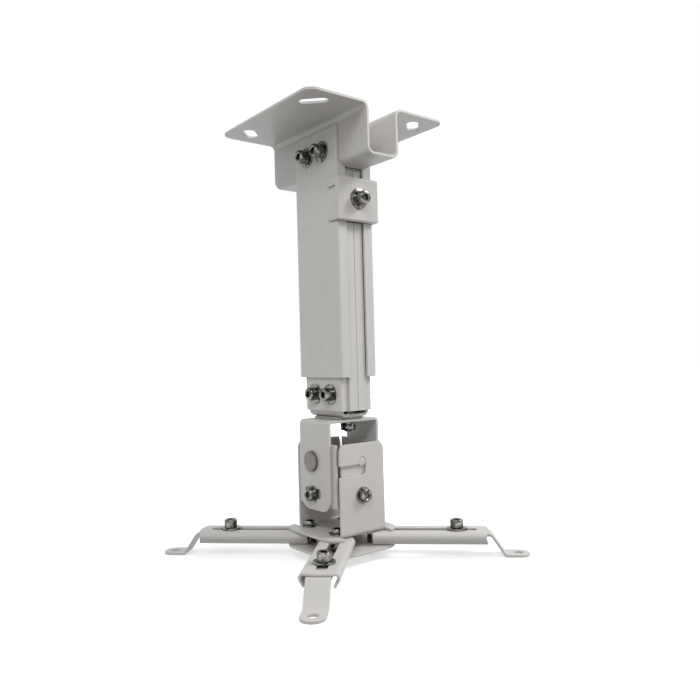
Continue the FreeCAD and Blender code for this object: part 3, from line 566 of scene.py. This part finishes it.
def plated_washers(node):
    """Flat washers, and split washers on top of them where the CAD has pairs, their gaps turned any way."""
    target = bmesh.new()
    for island in solids(node):
        axis, centre, rings = measured(island, slim=False)
        wide = [height for height, radius in rings if radius > FLAT_WASHER_FROM * MM]
        low, high = min(h for h, r in rings), max(h for h, r in rings)
        if wide:
            # A pair whose flat washer is on top is taken the other way up.
            if max(wide) > high - ON_RIM * MM and min(wide) > low + ON_RIM * MM:
                axis, low, high = -axis, -high, -low
                wide = [-height for height in wide]
            put(target, flat_washer(max(r for h, r in rings) / MM), stood(centre, axis, min(wide)))
            low = max(wide)
        if high - low > SPLIT_WASHER_FROM * MM:
            turn = 1.7 + 2.1 * len(target.faces)
            put(target, split_washer((high - low) / MM), stood(centre, axis, low, turn))
    finished(node + "_plated", node, target, screw_plate)


def plated_rivets(node, slim, head_r, head, shank_r, tail_r, tail):
    """Rivets where the CAD has them, heads on the side where the CAD's are."""
    target = bmesh.new()
    for island in solids(node):
        axis, centre, rings = measured(island, slim)
        wide = [height for height, radius in rings if radius > (head_r - ON_RIM) * MM]
        if sum(wide) < 0:
            axis = -axis
        half = max(height for height, radius in rings)
        grip = 2 * half / MM - head - tail
        put(
            target,
            rivet(head_r, head, shank_r, grip, tail_r, tail),
            stood(centre, axis, half - head * MM),
        )
    finished(node + "_plated", node, target, rivet_plate)


def coated_pins(node, tail_r, tail, pin_r):
    """Pins with a pressed tail inside and a chamfered end outside, where the CAD has them."""
    target = bmesh.new()
    for island in solids(node):
        axis, centre, rings = measured(island, slim=False)
        wide = [height for height, radius in rings if radius > (tail_r - ON_RIM) * MM]
        if sum(wide) > 0:
            axis = -axis
        half = max(height for height, radius in rings)
        end = 2 * half / MM
        outline = [(0, 0), (tail_r - 0.4, 0), (tail_r, 0.4), (tail_r, tail), (pin_r, tail)]
        outline += [(pin_r, end - 0.5), (pin_r - 0.15, end - 0.15), (pin_r - 0.5, end), (0, end)]
        put(target, turned(outline), stood(centre, axis, -half))
    finished(node + "_coated", node, target, steel_coat)


def spacer_tubes(node, bore):
    """Turned spacers with broken edges, where the CAD has them."""
    target = bmesh.new()
    for island in solids(node):
        axis, centre, rings = measured(island, slim=False)
        reach = max(radius for height, radius in rings) / MM
        half = max(height for height, radius in rings) / MM
        outline = [(reach - 0.5, -half), (reach, 0.5 - half), (reach, half - 0.5), (reach - 0.5, half)]
        outline += [(bore + 0.3, half), (bore, half - 0.3), (bore, 0.3 - half), (bore + 0.3, -half)]
        put(target, turned(outline, closed=True), stood(centre, axis, 0))
    finished(node + "_plated", node, target, screw_plate)


for node in ("ceiling_bracket", "swivel_spigot", "upper_yoke", "tilt_bracket", "lower_yoke", "lower_plate"):
    coated(node, steel_coat)
coated("height_collar", steel_coat, width=0.6)
for node in ("outer_tube", "inner_tube"):
    coated(node, tube_coat, width=0.25)
for node in ("guide_liner", "swivel_pad"):
    coated(node, nylon, width=0.2)
for i in ARMS:
    coated(f"arm_{i}", steel_coat, width=0.3)
    coated(f"foot_{i}", steel_coat, width=0.3)

for place in ("top", "collar", "spigot", "swivel_lock", "tilt_lock", "roll_lock", "hub"):
    plated_screws(place + "_screws")
    plated_washers(place + "_washers")
    plated_nuts(place + "_nuts")
for i in ARMS:
    plated_screws(f"foot_screw_{i}")
    plated_washers(f"foot_washer_{i}")
    plated_nuts(f"foot_nut_{i}")
plated_rivets("tilt_rivets", slim=False, head_r=10.0, head=3.2, shank_r=5.0, tail_r=7.5, tail=1.5)
plated_rivets("swivel_rivet", slim=True, head_r=6.2, head=2.0, shank_r=4.0, tail_r=6.2, tail=2.0)
coated_pins("roll_pins", tail_r=7.5, tail=1.5, pin_r=4.4)
spacer_tubes("hub_spacers", bore=4.2)


def seen_rays(tree):
    """1 for what is seen, straight or by way of a mirror or glass, and 0 for what only lights the mount."""
    path = add(tree, "ShaderNodeLightPath").outputs
    seen = path["Is Camera Ray"]
    for kind in ("Is Glossy Ray", "Is Transmission Ray"):
        seen = add(tree, "ShaderNodeMath", {0: seen, 1: path[kind]}, operation="MAXIMUM").outputs[0]
    return seen


def studio():
    """A white floor that runs into a white room, and two soft lights above the tube's open side.

    The floor rides with the spider, so that the feet stand on it at every pose, and it is clear from beneath,
    so that the mount's underside can be seen. Shadows on it start to fade 0.24 m from its middle, and from
    0.5 m on it is all white.
    """
    white = linear("#ffffff")
    scene = bpy.context.scene
    scene.view_settings.view_transform = "Standard"
    floor_z = cad_box[0].z - 0.1 * MM  # just under the feet
    world = bpy.data.worlds.new("white_room")
    scene.world = world
    tree = new_tree(world)
    soft = add(tree, "ShaderNodeBackground", {"Color": white, "Strength": 0.7})
    clean = add(tree, "ShaderNodeBackground", {"Color": white, "Strength": 1.0})
    both = add(tree, "ShaderNodeMixShader", {0: seen_rays(tree), 1: soft.outputs[0], 2: clean.outputs[0]})
    add(tree, "ShaderNodeOutputWorld", {"Surface": both.outputs[0]})

    material = bpy.data.materials.new("white_floor")
    tree = new_tree(material)
    place = add(tree, "ShaderNodeTexCoord").outputs["Object"]
    centred = add(tree, "ShaderNodeVectorMath", {0: place, 1: (0, 0, floor_z)}, operation="DISTANCE")
    far = add(
        tree,
        "ShaderNodeMapRange",
        {
            "Value": centred.outputs["Value"],
            "From Min": 0.24,
            "From Max": 0.5,
            "To Min": 0.55,
            "To Max": 1.0,
        },
    )
    glow = add(tree, "ShaderNodeEmission", {"Color": white, "Strength": far.outputs[0]})
    lit = add(tree, "ShaderNodeBsdfDiffuse", {"Color": linear("#d3d3d3")})
    shown = add(tree, "ShaderNodeAddShader", {0: glow.outputs[0], 1: lit.outputs[0]})
    under = add(tree, "ShaderNodeNewGeometry").outputs["Backfacing"]
    open_air = add(tree, "ShaderNodeBsdfTransparent")
    upper = add(tree, "ShaderNodeMixShader", {0: under, 1: shown.outputs[0], 2: open_air.outputs[0]})
    bounce = add(tree, "ShaderNodeEmission", {"Color": white, "Strength": 0.42})
    both = add(tree, "ShaderNodeMixShader", {0: seen_rays(tree), 1: bounce.outputs[0], 2: upper.outputs[0]})
    add(tree, "ShaderNodeOutputMaterial", {"Surface": both.outputs[0]})
    shape = bmesh.new()
    bmesh.ops.create_grid(shape, x_segments=1, y_segments=1, size=6.0)
    bmesh.ops.translate(shape, verts=shape.verts, vec=(0, 0, floor_z))
    mesh = bpy.data.meshes.new("floor")
    shape.to_mesh(mesh)
    shape.free()
    mesh.materials.append(material)
    floor = bpy.data.objects.new("floor", mesh)
    scene.collection.objects.link(floor)
    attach(floor, "spider")

    middle = Vector((0, 0, -0.22))
    distance, size = 1.6, 0.5
    for name, way, power in (
        ("right_light", (0.49, 0.59, 0.64), 14.5),
        ("left_light", (0.49, -0.59, 0.64), 6.6),
    ):
        lamp = bpy.data.lights.new(name, "AREA")
        lamp.shape = "SQUARE"
        lamp.size = size
        lamp.energy = power
        holder = bpy.data.objects.new(name, lamp)
        holder.location = middle + Vector(way).normalized() * distance
        holder.rotation_mode = "QUATERNION"
        holder.rotation_quaternion = (middle - holder.location).to_track_quat("-Z", "Y")
        holder.visible_camera = False
        scene.collection.objects.link(holder)


def camera():
    """The photograph's viewpoint, 38 degrees round from the tube's open side towards -Y, near mid height."""
    place = Vector((554.9, -421.6, -234.6)) * MM
    turn, tip, lean = math.radians(51.69), math.radians(0.69), math.radians(1.53)
    ahead = Vector((-math.sin(turn) * math.cos(tip), math.cos(turn) * math.cos(tip), math.sin(tip)))
    right = Vector((math.cos(turn), math.sin(turn), 0))
    up = right.cross(ahead)
    right, up = right * math.cos(lean) - up * math.sin(lean), up * math.cos(lean) + right * math.sin(lean)
    data = bpy.data.cameras.new("camera")
    data.lens = 35.35
    data.sensor_width = 36.0
    data.clip_start = 0.01
    data.clip_end = 50.0
    holder = bpy.data.objects.new("camera", data)
    bpy.context.scene.collection.objects.link(holder)
    turned_to = Matrix((right, up, -ahead)).transposed().to_4x4()
    holder.matrix_world = Matrix.Translation(place) @ turned_to
    bpy.context.scene.camera = holder


studio()
camera()
